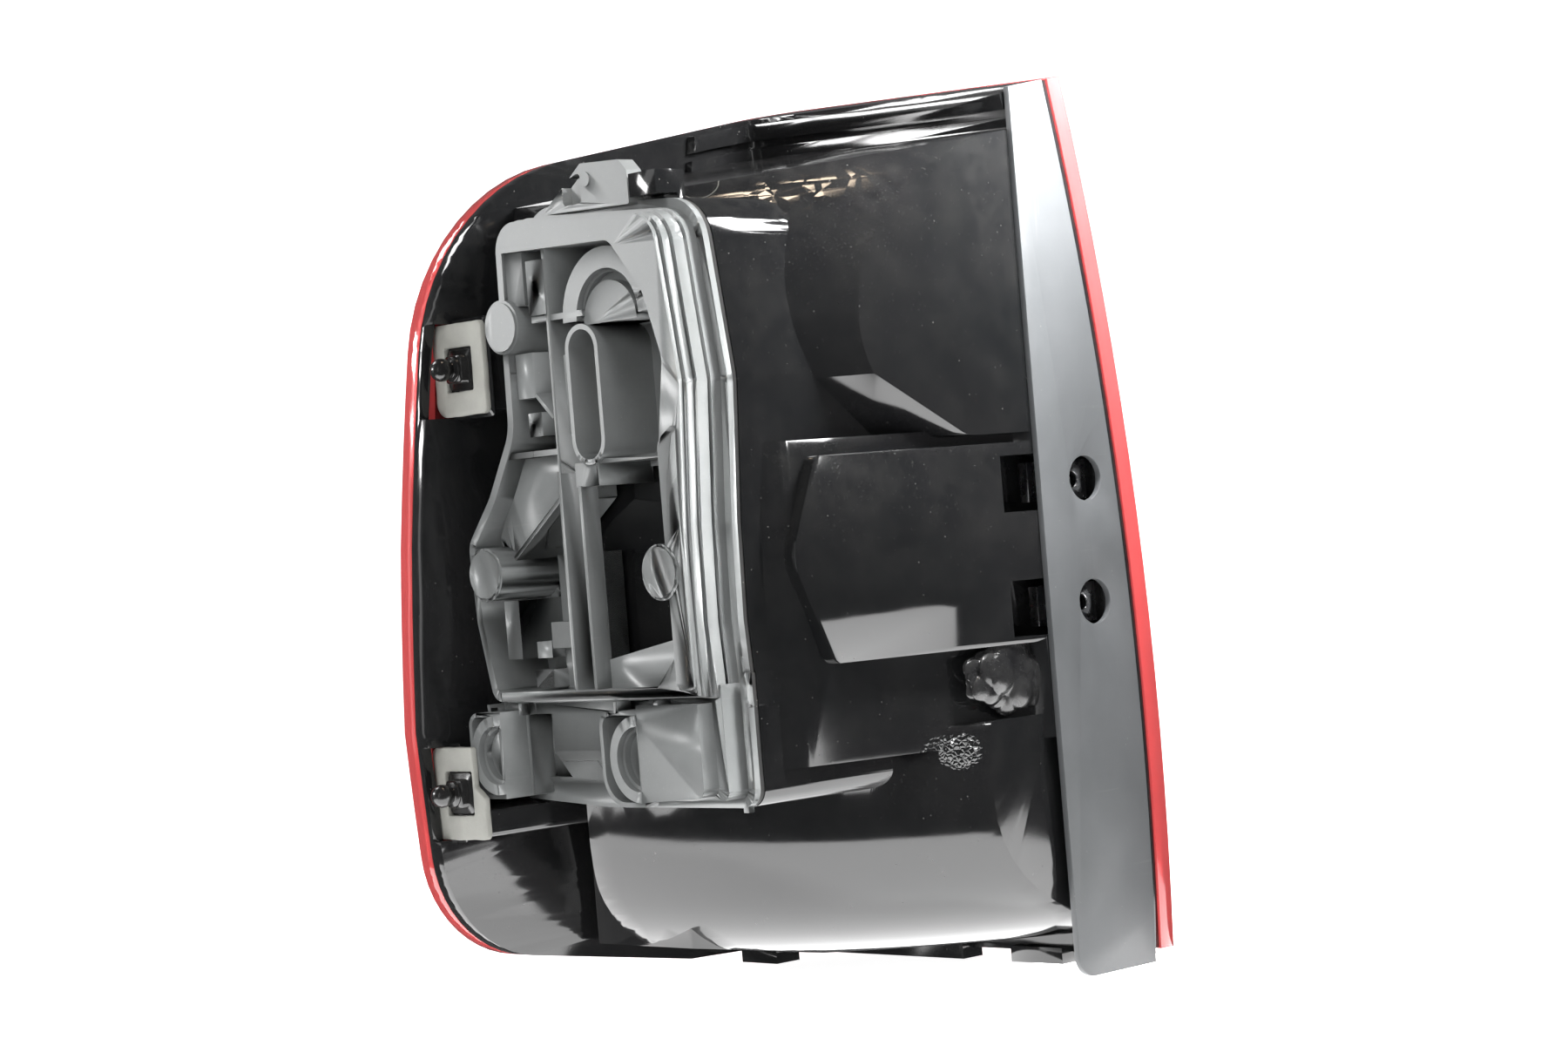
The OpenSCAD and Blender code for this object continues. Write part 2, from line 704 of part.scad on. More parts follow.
module terminal_blades() {
    color([0.75, 0.62, 0.35]) for (i = [0 : blade_count - 1])
        block(socket_at[0] - 0.4, socket_at[0] + 0.4, floor_y - 20, floor_y - 3,
            socket_at[1] + (i - (blade_count - 1) / 2) * blade_pitch - 1.4,
            socket_at[1] + (i - (blade_count - 1) / 2) * blade_pitch + 1.4);
}

module contact_track_common() {
    from = turn_at[1] + 12;
    color([0.75, 0.62, 0.35]) along_y(back_y, back_y + track_t) {
        translate([common_x, from]) square([track_w, reverse_at[1] - 14 - from]);
        translate([common_x, common_z]) square([fog_at[0] + 8 - common_x, track_w]);
    }
}

module contact_track_feed() {
    from = fog_at[1] + 16;
    left = stop_at[0] - 24;
    color([0.75, 0.62, 0.35]) along_y(back_y, back_y + track_t) {
        translate([feed_x, from]) square([track_w, stop_at[1] - 6 - from]);
        translate([left, feed_z]) square([feed_x + track_w - left, track_w]);
    }
}

module bulb_base(at) {
    color([0.7, 0.6, 0.4]) rod_y(at[0], at[1], back_y, back_y + base_h, base_r);
}

module bulb_glass(at, tint) {
    y = back_y + base_h;
    color(tint) intersection() {
        union() {
            rod_y(at[0], at[1], y, y + 7, base_r - 0.6);
            rod_y(at[0], at[1], y + 5, y + glass_h - glass_r, glass_r);
            translate([at[0], y + glass_h - glass_r, at[1]]) sphere(glass_r, $fn = 64);
        }
        block(at[0] - 20, at[0] + 20, y, y + glass_h, at[1] - 20, at[1] + 20);
    }
}

module ball_stud(stud) {
    y = stud[2];
    color([0.08, 0.08, 0.08]) {
        rod_y(stud[0], stud[1], y - ball_reach, y + pad_t, neck_r);
        translate([stud[0], y - ball_reach, stud[1]]) sphere(ball_r, $fn = 48);
        block(stud[0] - 9, stud[0] + 9, y + 0.5, y + pad_t, stud[1] - 9, stud[1] + 9);
    }
}

module stud_pad(stud, corners) {
    color([0.7, 0.7, 0.64]) translate([stud[0], 0, stud[1]]) along_y(stud[2], stud[2] + pad_t) difference() {
        outline(corners);
        square([19, 19], center = true);
    }
}

housing();
side_strip();
lens();
lens_seal();
reflector();
bulb_carrier();
carrier_seal();
clip_nuts();
ball_stud(stud_upper);  // ball_stud_upper
ball_stud(stud_lower);  // ball_stud_lower
stud_pad(stud_upper, upper_pad);  // stud_pad_upper
stud_pad(stud_lower, lower_pad);  // stud_pad_lower
terminal_blades();
contact_track_common();
contact_track_feed();
bulb_base(stop_at);  // bulb_stop_base
bulb_glass(stop_at, [0.9, 0.9, 0.92, 0.6]);  // bulb_stop_glass
bulb_base(turn_at);  // bulb_turn_base
bulb_glass(turn_at, [0.95, 0.55, 0.1, 0.6]);  // bulb_turn_glass
bulb_base(reverse_at);  // bulb_reverse_base
bulb_glass(reverse_at, [0.9, 0.9, 0.92, 0.6]);  // bulb_reverse_glass
bulb_base(fog_at);  // bulb_fog_base
bulb_glass(fog_at, [0.9, 0.9, 0.92, 0.6]);  // bulb_fog_glass
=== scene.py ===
# Right-hand tail lamp, seen from the side that faces the body: finishes, small mouldings and the studio
import bmesh
import bpy
import numpy as np
from mathutils import Matrix, Vector


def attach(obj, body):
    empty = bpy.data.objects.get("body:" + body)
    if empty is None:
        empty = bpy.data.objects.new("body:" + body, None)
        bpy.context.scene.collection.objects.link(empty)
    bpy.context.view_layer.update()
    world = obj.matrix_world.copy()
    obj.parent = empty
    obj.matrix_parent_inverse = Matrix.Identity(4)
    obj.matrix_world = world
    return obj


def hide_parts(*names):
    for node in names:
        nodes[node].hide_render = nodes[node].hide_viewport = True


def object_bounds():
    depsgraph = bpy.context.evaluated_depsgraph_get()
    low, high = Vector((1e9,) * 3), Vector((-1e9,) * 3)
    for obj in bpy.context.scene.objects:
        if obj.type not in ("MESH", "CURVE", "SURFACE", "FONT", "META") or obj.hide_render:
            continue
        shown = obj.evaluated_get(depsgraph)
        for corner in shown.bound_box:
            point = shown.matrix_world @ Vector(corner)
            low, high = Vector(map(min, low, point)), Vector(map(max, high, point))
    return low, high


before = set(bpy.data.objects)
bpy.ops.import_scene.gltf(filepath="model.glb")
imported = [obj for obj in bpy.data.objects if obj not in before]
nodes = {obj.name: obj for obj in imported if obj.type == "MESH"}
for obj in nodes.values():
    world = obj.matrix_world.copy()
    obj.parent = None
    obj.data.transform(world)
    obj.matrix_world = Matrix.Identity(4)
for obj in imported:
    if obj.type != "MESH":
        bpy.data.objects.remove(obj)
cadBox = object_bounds()
print("frame loaded:", len(nodes), "nodes")

# Camera at the photo's angle
photoView = {
    "target": (-0.0773, -0.0974, 0.018),  # the lamp's point at the middle of the picture
    "azimuth": 48.0,      # degrees from straight ahead of the lamp towards inboard
    "elevation": 0.0,
    "roll": 4.7,          # the lamp leans a little in the picture
    "distance": 1.5,
    "focal": 80.43,       # mm
    "sensor": 36.0,       # mm wide
}


def placeCamera(view):
    az, el, roll = (np.radians(view[k]) for k in ("azimuth", "elevation", "roll"))
    back = np.array([np.sin(az) * np.cos(el), -np.cos(az) * np.cos(el), np.sin(el)])
    level = np.array([np.cos(az), np.sin(az), 0.0])
    upright = np.cross(back, level)
    right = level * np.cos(roll) - upright * np.sin(roll)
    up = level * np.sin(roll) + upright * np.cos(roll)
    data = bpy.data.cameras.new("photoCamera")
    data.sensor_width = view["sensor"]
    data.lens = view["focal"]
    data.clip_end = 50.0
    cam = bpy.data.objects.new("photoCamera", data)
    bpy.context.scene.collection.objects.link(cam)
    spot = np.array(view["target"]) + back * view["distance"]
    cam.matrix_world = Matrix([[right[i], up[i], back[i], spot[i]] for i in range(3)] + [[0, 0, 0, 1]])
    bpy.context.scene.camera = cam
    return back


camBack = placeCamera(photoView)
print("camera placed")

# Studio: a pale floor that curves up behind the lamp, soft fill lights and a few bright cards
studio = {
    "floorGap": 0.0006,     # the floor lies this far under the lamp's lowest point
    "reach": 3.2,           # half the width of the sweep
    "front": 2.6,           # how far the floor runs towards the camera
    "behind": 2.2,          # how far behind the lamp the sweep turns up
    "bend": 0.8,
    "height": 3.4,
    "mat": (0.05, 0.17),    # the white mat under the lamp: how far it reaches behind and in front
    "matReach": 0.45,       # half the width of the mat
    "matLift": 0.0004,      # the mat lies this far over the floor
    "paint": (0.86, 0.86, 0.86, 1),
    "paintRoughness": 0.9,
    "glow": {"paleSweep": 0.95, "paleMat": 5.0},  # both shine, as overlit paper does
    "surround": (0.12, 0.12, 0.123, 1),
    # Fills light the matt parts alone; cards also mirror in the glossy ones
    "fills": [  # name, place, aim, width, height, watts, colour
        ("ceilingFill", (0.3, -0.5, 1.7), (-0.08, -0.1, 0.0), 1.4, 1.2, 17, (1, 1, 1)),
        ("cameraFill", (0.75, -1.6, 0.5), (-0.12, -0.15, 0.0), 0.9, 0.9, 12, (1, 1, 1)),
        ("leftFill", (-1.2, -0.55, 0.35), (-0.2, -0.12, 0.0), 0.6, 0.8, 9, (1, 1, 1)),
        ("stripFill", (0.12, 0.0, 0.265), (0.009, 0.0, 0.17), 0.08, 0.1, 3.6, (1, 1, 1)),
    ],
    "cards": [
        ("leftCard", (-0.95, -1.1, 0.35), (-0.12, -0.15, 0.05), 0.25, 1.1, 1.2, (1, 1, 1)),
        ("bowlCard", (0.23, 0.02, 0.42), (-0.05, -0.17, 0.14), 0.12, 0.2, 4.0, (1, 1, 1)),
        ("tallCard", (0.2, -1.45, 0.2), (-0.05, -0.1, 0.0), 0.07, 0.9, 1.2, (1, 1, 1)),
        ("rimCard", (-1.03, -1.0, 0.33), (-0.05, -0.12, 0.17), 0.4, 0.16, 6, (1, 1, 1)),
        ("topCard", (-0.8, -0.4, 0.75), (-0.05, -0.17, 0.14), 0.3, 0.25, 3.0, (1, 1, 1)),
        ("warmSpark", (0.014, -0.184, 0.95), (-0.03, -0.1, 0.16), 0.12, 0.08, 0.9, (1, 0.8, 0.6)),
    ],
}


def sweepMesh(name, floorZ, run, rise, reach):
    # A profile of floor, quarter circle and wall is carried sideways, square to the camera's line of sight
    away = -np.array([camBack[0], camBack[1], 0.0])
    away /= np.linalg.norm(away)
    side = np.array([-away[1], away[0], 0.0])
    across = np.linspace(-reach, reach, 9)
    points = (run[:, None, None] * away + np.array([0, 0, 1.0]) * rise[:, None, None]
              + across[None, :, None] * side)
    points += np.array([photoView["target"][0], photoView["target"][1], floorZ])
    n, m = points.shape[:2]
    corner = (np.arange(n - 1)[:, None] * m + np.arange(m - 1)[None, :]).ravel()
    faces = np.stack([corner, corner + m, corner + m + 1, corner + 1], 1)
    mesh = bpy.data.meshes.new(name)
    mesh.from_pydata(points.reshape(-1, 3).tolist(), [], faces.tolist())
    mesh.shade_smooth()
    sheet = bpy.data.objects.new(name, mesh)
    bpy.context.scene.collection.objects.link(sheet)
    return sheet


def paperMaterial(spec, sheet):
    made = bpy.data.materials.new(sheet.name + "Paper")
    made.use_nodes = True
    shader = made.node_tree.nodes["Principled BSDF"]
    shader.inputs["Base Color"].default_value = spec["paint"]
    shader.inputs["Roughness"].default_value = spec["paintRoughness"]
    shader.inputs["Emission Color"].default_value = (1, 1, 1, 1)
    shader.inputs["Emission Strength"].default_value = spec["glow"][sheet.name]
    return made


def addLight(name, place, aim, width, height, watts, colour):
    data = bpy.data.lights.new(name, "AREA")
    data.shape = "RECTANGLE"
    data.size, data.size_y, data.energy, data.color = width, height, watts, colour
    lamp = bpy.data.objects.new(name, data)
    lamp.location = place
    lamp.visible_camera = False
    lamp.rotation_euler = (Vector(aim) - Vector(place)).to_track_quat("-Z", "Y").to_euler()
    bpy.context.scene.collection.objects.link(lamp)
    return lamp


def buildStudio(spec):
    floorZ = cadBox[0][2] - spec["floorGap"]
    turn = np.linspace(0, np.pi / 2, 24)
    run = np.concatenate([[-spec["front"]], spec["behind"] + spec["bend"] * np.sin(turn),
                          [spec["behind"] + spec["bend"]]])
    rise = np.concatenate([[0.0], spec["bend"] * (1 - np.cos(turn)), [spec["height"]]])
    sweep = sweepMesh("paleSweep", floorZ - spec["matLift"], run, rise, spec["reach"])
    sweep.visible_glossy = False
    behind, front = spec["mat"]
    mat = sweepMesh("paleMat", floorZ, np.array([-front, behind]), np.zeros(2), spec["matReach"])
    mat.visible_diffuse = False
    for sheet in (sweep, mat):
        sheet.data.materials.append(paperMaterial(spec, sheet))
    for entry in spec["fills"]:
        addLight(*entry).visible_glossy = False
    for entry in spec["cards"]:
        addLight(*entry).visible_diffuse = False
    world = bpy.data.worlds.new("surround")
    world.use_nodes = True
    # The camera sees pale paper past the sweep's edge; everything else sees the dim surround
    tree = world.node_tree
    seen = tree.nodes.new("ShaderNodeMix")
    seen.data_type = "RGBA"
    seen.inputs[6].default_value, seen.inputs[7].default_value = spec["surround"], (1, 1, 1, 1)
    tree.links.new(tree.nodes.new("ShaderNodeLightPath").outputs["Is Camera Ray"], seen.inputs["Factor"])
    tree.links.new(seen.outputs[2], tree.nodes["Background"].inputs["Color"])
    bpy.context.scene.world = world
    bpy.context.scene.view_settings.view_transform = "Standard"


buildStudio(studio)
print("studio built")


# Shader groups shared by the finishes
vectorSocket, valueSocket = "NodeSocketVector", "NodeSocketFloat"


def newGroup(name, inputs, outputs):
    group = bpy.data.node_groups.new(name, "ShaderNodeTree")
    for label, kind, value in inputs:
        made = group.interface.new_socket(label, in_out="INPUT", socket_type=kind)
        if value is not None:
            made.default_value = value
    for label, kind in outputs:
        group.interface.new_socket(label, in_out="OUTPUT", socket_type=kind)
    return group, group.nodes.new("NodeGroupInput"), group.nodes.new("NodeGroupOutput")


def addNode(tree, kind, **settings):
    made = tree.nodes.new(kind)
    for key, value in settings.items():
        if key.startswith("in_"):
            made.inputs[key[3:].replace("_", " ")].default_value = value
        else:
            setattr(made, key, value)
    return made


def addNoise(tree, vector, scale, detail, roughness=0.5):
    noise = addNode(tree, "ShaderNodeTexNoise")
    noise.inputs["Detail"].default_value = detail
    noise.inputs["Roughness"].default_value = roughness
    tree.links.new(vector, noise.inputs["Vector"])
    if hasattr(scale, "is_output"):
        tree.links.new(scale, noise.inputs["Scale"])
    else:
        noise.inputs["Scale"].default_value = scale
    return noise.outputs["Fac"]


def remap(tree, value, low, high, outLow=0.0, outHigh=1.0):
    made = addNode(tree, "ShaderNodeMapRange")
    made.clamp = True
    tree.links.new(value, made.inputs["Value"])
    for label, number in (("From Min", low), ("From Max", high), ("To Min", outLow), ("To Max", outHigh)):
        if hasattr(number, "is_output"):
            tree.links.new(number, made.inputs[label])
        else:
            made.inputs[label].default_value = number
    return made.outputs["Result"]


def combine(tree, operation, a, b):
    made = addNode(tree, "ShaderNodeMath", operation=operation)
    for socket, value in zip(made.inputs, (a, b)):
        if hasattr(value, "is_output"):
            tree.links.new(value, socket)
        else:
            socket.default_value = value
    return made.outputs[0]


# Noises are detail and roughness, after a scale in waves per metre where the finish gives none; a span is the
# pair of values between which a mark fades in
groupNoise = {
    "grain": (2.0, 0.5), "blotch": (5.0, 0.6), "blotchSpan": (0.3, 0.7), "wave": (38.0, 1.0, 0.5),
    "facingSpan": (-0.2, 0.9), "facingShare": (0.25, 1.0),  # dust on faces that look down, and up
    "film": (60.0, 6.0, 0.7), "filmSpan": (0.42, 0.75), "filmShare": 0.55,
    "specks": (900.0, 3.0, 0.6), "speckSpan": (0.6, 0.72),
    "crumbScale": 260.0, "crumbSpan": (0.05, 0.1),
    "crumbPlaces": (90.0, 2.0, 0.5), "crumbPlacesSpan": (0.56, 0.62),
    # streaks: the turn of the noise and its stretch along each axis
    "streaks": [((0.3, 0.2, 0.7), (18, 18, 420)), ((0.9, -0.4, 0.1), (26, 380, 26))],
    "streakSpan": (0.7, 0.735), "streakPlaces": (16.0, 2.0, 0.5), "streakPlacesSpan": (0.45, 0.6),
    "ovalFade": (0.86, 1.0), "ridgeSpan": (0.0, 0.35),
}


def buildMouldGroup():
    # Moulded skin: fine grain, broad blotches and flow waves, as three values between 0 and 1
    group, start, end = newGroup(
        "mouldSkin",
        [("Place", vectorSocket, None), ("Grain", valueSocket, 1500.0), ("Blotch", valueSocket, 22.0)],
        [("Grain", valueSocket), ("Blotch", valueSocket), ("Wave", valueSocket)])
    place = start.outputs["Place"]
    grain = addNoise(group, place, start.outputs["Grain"], *groupNoise["grain"])
    blotch = addNoise(group, place, start.outputs["Blotch"], *groupNoise["blotch"])
    blotch = remap(group, blotch, *groupNoise["blotchSpan"])
    wave = addNoise(group, place, *groupNoise["wave"])
    group.links.new(grain, end.inputs["Grain"])
    group.links.new(blotch, end.inputs["Blotch"])
    group.links.new(wave, end.inputs["Wave"])
    return group


def buildDustGroup():
    # Dust: fine specks everywhere, more where a face looks up, and a few bright crumbs
    group, start, end = newGroup(
        "dustAndCrumbs", [("Place", vectorSocket, None), ("Amount", valueSocket, 0.5)],
        [("Dust", valueSocket), ("Crumbs", valueSocket)])
    place = start.outputs["Place"]
    normal = group.nodes.new("ShaderNodeNewGeometry")
    parts = group.nodes.new("ShaderNodeSeparateXYZ")
    group.links.new(normal.outputs["Normal"], parts.inputs[0])
    facing = remap(group, parts.outputs["Z"], *groupNoise["facingSpan"], *groupNoise["facingShare"])
    film = remap(group, addNoise(group, place, *groupNoise["film"]), *groupNoise["filmSpan"])
    specks = remap(group, addNoise(group, place, *groupNoise["specks"]), *groupNoise["speckSpan"])
    both = combine(group, "MAXIMUM", combine(group, "MULTIPLY", film, groupNoise["filmShare"]), specks)
    dust = combine(group, "MULTIPLY", combine(group, "MULTIPLY", both, facing), start.outputs["Amount"])
    cells = addNode(group, "ShaderNodeTexVoronoi", in_Scale=groupNoise["crumbScale"])
    group.links.new(place, cells.inputs["Vector"])
    dots = remap(group, cells.outputs["Distance"], *groupNoise["crumbSpan"], 1.0, 0.0)
    some = remap(group, addNoise(group, place, *groupNoise["crumbPlaces"]), *groupNoise["crumbPlacesSpan"])
    crumbs = combine(group, "MULTIPLY", combine(group, "MULTIPLY", dots, some), start.outputs["Amount"])
    group.links.new(dust, end.inputs["Dust"])
    group.links.new(crumbs, end.inputs["Crumbs"])
    return group


def buildScratchGroup():
    # Scratches: thin streaks cut from two stretched noises, thinned out by a broad one
    group, start, end = newGroup(
        "fineScratches", [("Place", vectorSocket, None), ("Amount", valueSocket, 0.5)],
        [("Scratches", valueSocket)])
    streaks = []
    for turn, stretch in groupNoise["streaks"]:
        mapping = addNode(group, "ShaderNodeMapping")
        mapping.inputs["Rotation"].default_value = turn
        mapping.inputs["Scale"].default_value = stretch
        group.links.new(start.outputs["Place"], mapping.inputs["Vector"])
        streaks.append(remap(group, addNoise(group, mapping.outputs[0], 1.0, 1.0), *groupNoise["streakSpan"]))
    patch = remap(group, addNoise(group, start.outputs["Place"], *groupNoise["streakPlaces"]),
                  *groupNoise["streakPlacesSpan"])
    lines = combine(group, "MULTIPLY", combine(group, "MAXIMUM", *streaks), patch)
    group.links.new(combine(group, "MULTIPLY", lines, start.outputs["Amount"]), end.inputs["Scratches"])
    return group


def buildRingGroup():
    # Pin mark: 1 on a thin line at the radius from the centre, 0 elsewhere
    group, start, end = newGroup(
        "pinMark",
        [("Place", vectorSocket, None), ("Centre", vectorSocket, None), ("Radius", valueSocket, 0.009),
         ("Line", valueSocket, 0.0005)],
        [("Mark", valueSocket)])
    reach = addNode(group, "ShaderNodeVectorMath", operation="DISTANCE")
    group.links.new(start.outputs["Place"], reach.inputs[0])
    group.links.new(start.outputs["Centre"], reach.inputs[1])
    off = combine(group, "SUBTRACT", reach.outputs["Value"], start.outputs["Radius"])
    mark = remap(group, combine(group, "ABSOLUTE", off, 0.0), 0.0, start.outputs["Line"], 1.0, 0.0)
    group.links.new(mark, end.inputs["Mark"])
    return group


def buildPatchGroup():
    # Rough patch: inside an oval of the given half widths, a noise of ridges, fading out at its edge
    group, start, end = newGroup(
        "roughPatch",
        [("Place", vectorSocket, None), ("Centre", vectorSocket, None), ("Half", vectorSocket, None),
         ("Grain", valueSocket, 400.0)],
        [("Ridges", valueSocket)])
    away = addNode(group, "ShaderNodeVectorMath", operation="SUBTRACT")
    group.links.new(start.outputs["Place"], away.inputs[0])
    group.links.new(start.outputs["Centre"], away.inputs[1])
    scaled = addNode(group, "ShaderNodeVectorMath", operation="DIVIDE")
    group.links.new(away.outputs[0], scaled.inputs[0])
    group.links.new(start.outputs["Half"], scaled.inputs[1])
    size = addNode(group, "ShaderNodeVectorMath", operation="LENGTH")
    group.links.new(scaled.outputs[0], size.inputs[0])
    inside = remap(group, size.outputs["Value"], *groupNoise["ovalFade"], 1.0, 0.0)
    cells = addNode(group, "ShaderNodeTexVoronoi", feature="DISTANCE_TO_EDGE")
    group.links.new(start.outputs["Place"], cells.inputs["Vector"])
    group.links.new(start.outputs["Grain"], cells.inputs["Scale"])
    ridges = remap(group, cells.outputs["Distance"], *groupNoise["ridgeSpan"])
    group.links.new(combine(group, "MULTIPLY", ridges, inside), end.inputs["Ridges"])
    return group


mouldSkin, dustAndCrumbs, fineScratches = buildMouldGroup(), buildDustGroup(), buildScratchGroup()
pinMark, roughPatch = buildRingGroup(), buildPatchGroup()


def useGroup(tree, group, place, **values):
    made = tree.nodes.new("ShaderNodeGroup")
    made.node_tree = group
    tree.links.new(place, made.inputs["Place"])
    for key, value in values.items():
        made.inputs[key].default_value = value
    return made.outputs


def mixColour(tree, factor, a, b):
    made = addNode(tree, "ShaderNodeMix", data_type="RGBA")
    tree.links.new(factor, made.inputs["Factor"])
    for index, value in ((6, a), (7, b)):
        if hasattr(value, "is_output"):
            tree.links.new(value, made.inputs[index])
        else:
            made.inputs[index].default_value = value
    return made.outputs[2]


mouldDetail = {
    "crumbTone": (0.55, 0.54, 0.5, 1),
    "pinTint": 0.6,          # how strongly a pin's ring takes the dust's tone
    "pinDepth": 0.0003,
    "dustRoughness": 0.35,   # added to the roughness where dust lies
    "edgeHighlightFrom": (0.52, 0.6),  # Pointiness at which the painted highlight along an edge starts, and is full
}


def plasticMaterial(name, look):
    # Two close tones mixed by blotches, dust and crumbs over them, a painted highlight along convex edges, and
    # grain, waves and scratches as bump
    made = bpy.data.materials.new(name)
    made.use_nodes = True
    tree = made.node_tree
    shader = tree.nodes["Principled BSDF"]
    place = addNode(tree, "ShaderNodeTexCoord").outputs["Object"]
    skin = useGroup(tree, mouldSkin, place, Grain=look["grainScale"], Blotch=look["blotchScale"])
    colour = mixColour(tree, skin["Blotch"], look["tone"], look["toneB"])
    dust = useGroup(tree, dustAndCrumbs, place, Amount=look["dust"])
    colour = mixColour(tree, dust["Dust"], colour, look["dustTone"])
    colour = mixColour(tree, dust["Crumbs"], colour, mouldDetail["crumbTone"])
    marks = useGroup(tree, fineScratches, place, Amount=look["scratches"])["Scratches"]
    colour = mixColour(tree, marks, colour, look["scratchTone"])
    rings = [useGroup(tree, pinMark, place, Centre=c, Radius=r)["Mark"] for c, r in look.get("pins", ())]
    for ring in rings:
        tint = combine(tree, "MULTIPLY", ring, mouldDetail["pinTint"])
        colour = mixColour(tree, tint, colour, look["dustTone"])
    # Painted highlight: the colour is lightened towards the dust tone along sharp convex edges
    bends = tree.nodes.new("ShaderNodeNewGeometry").outputs["Pointiness"]
    paintedEdgeHighlight = remap(tree, bends, *mouldDetail["edgeHighlightFrom"], 0.0, look.get("edgeHighlight", 0.0))
    tree.links.new(mixColour(tree, paintedEdgeHighlight, colour, look["dustTone"]), shader.inputs["Base Color"])
    rough = remap(tree, skin["Blotch"], 0.0, 1.0, look["roughness"][0], look["roughness"][1])
    rough = combine(tree, "ADD", rough, combine(tree, "MULTIPLY", dust["Dust"], mouldDetail["dustRoughness"]))
    tree.links.new(rough, shader.inputs["Roughness"])
    height = combine(tree, "ADD", combine(tree, "MULTIPLY", skin["Grain"], look["grainHeight"]),
                     combine(tree, "MULTIPLY", skin["Wave"], look["waveHeight"]))
    height = combine(tree, "SUBTRACT", height, combine(tree, "MULTIPLY", marks, look["scratchDepth"]))
    for ring in rings:
        height = combine(tree, "SUBTRACT", height, combine(tree, "MULTIPLY", ring, mouldDetail["pinDepth"]))
    for centre, half, grain, deep in look.get("patches", ()):
        patch = useGroup(tree, roughPatch, place, Centre=centre, Half=half, Grain=grain)
        height = combine(tree, "ADD", height, combine(tree, "MULTIPLY", patch["Ridges"], deep))
    bump = addNode(tree, "ShaderNodeBump", in_Strength=1.0, in_Distance=1.0)
    tree.links.new(height, bump.inputs["Height"])
    tree.links.new(bump.outputs["Normal"], shader.inputs["Normal"])
    shader.inputs["IOR"].default_value = look.get("ior", 1.5)
    return made


def clearMaterial(name, look):
    # Clear or tinted plastic and glass: plain transmission, with faint waves in the surface
    made = bpy.data.materials.new(name)
    made.use_nodes = True
    tree = made.node_tree
    shader = tree.nodes["Principled BSDF"]
    place = addNode(tree, "ShaderNodeTexCoord").outputs["Object"]
    skin = useGroup(tree, mouldSkin, place, Grain=look["grainScale"], Blotch=look["blotchScale"])
    tree.links.new(mixColour(tree, skin["Blotch"], look["tone"], look["toneB"]), shader.inputs["Base Color"])
    shader.inputs["Transmission Weight"].default_value = look["transmission"]
    shader.inputs["IOR"].default_value = look["ior"]
    rough = remap(tree, skin["Blotch"], 0.0, 1.0, look["roughness"][0], look["roughness"][1])
    tree.links.new(rough, shader.inputs["Roughness"])
    bump = addNode(tree, "ShaderNodeBump", in_Strength=1.0, in_Distance=1.0)
    tree.links.new(combine(tree, "MULTIPLY", skin["Wave"], look["waveHeight"]), bump.inputs["Height"])
    tree.links.new(bump.outputs["Normal"], shader.inputs["Normal"])
    return made


def metalMaterial(name, look):
    # Metal: two tones in blotches, brushed or plain grain as bump
    made = bpy.data.materials.new(name)
    made.use_nodes = True
    tree = made.node_tree
    shader = tree.nodes["Principled BSDF"]
    place = addNode(tree, "ShaderNodeTexCoord").outputs["Object"]
    skin = useGroup(tree, mouldSkin, place, Grain=look["grainScale"], Blotch=look["blotchScale"])
    tree.links.new(mixColour(tree, skin["Blotch"], look["tone"], look["toneB"]), shader.inputs["Base Color"])
    shader.inputs["Metallic"].default_value = 1.0
    tree.links.new(remap(tree, skin["Blotch"], 0.0, 1.0, look["roughness"][0], look["roughness"][1]),
                   shader.inputs["Roughness"])
    bump = addNode(tree, "ShaderNodeBump", in_Strength=1.0, in_Distance=1.0)
    tree.links.new(combine(tree, "MULTIPLY", skin["Grain"], look["grainHeight"]), bump.inputs["Height"])
    tree.links.new(bump.outputs["Normal"], shader.inputs["Normal"])
    return made


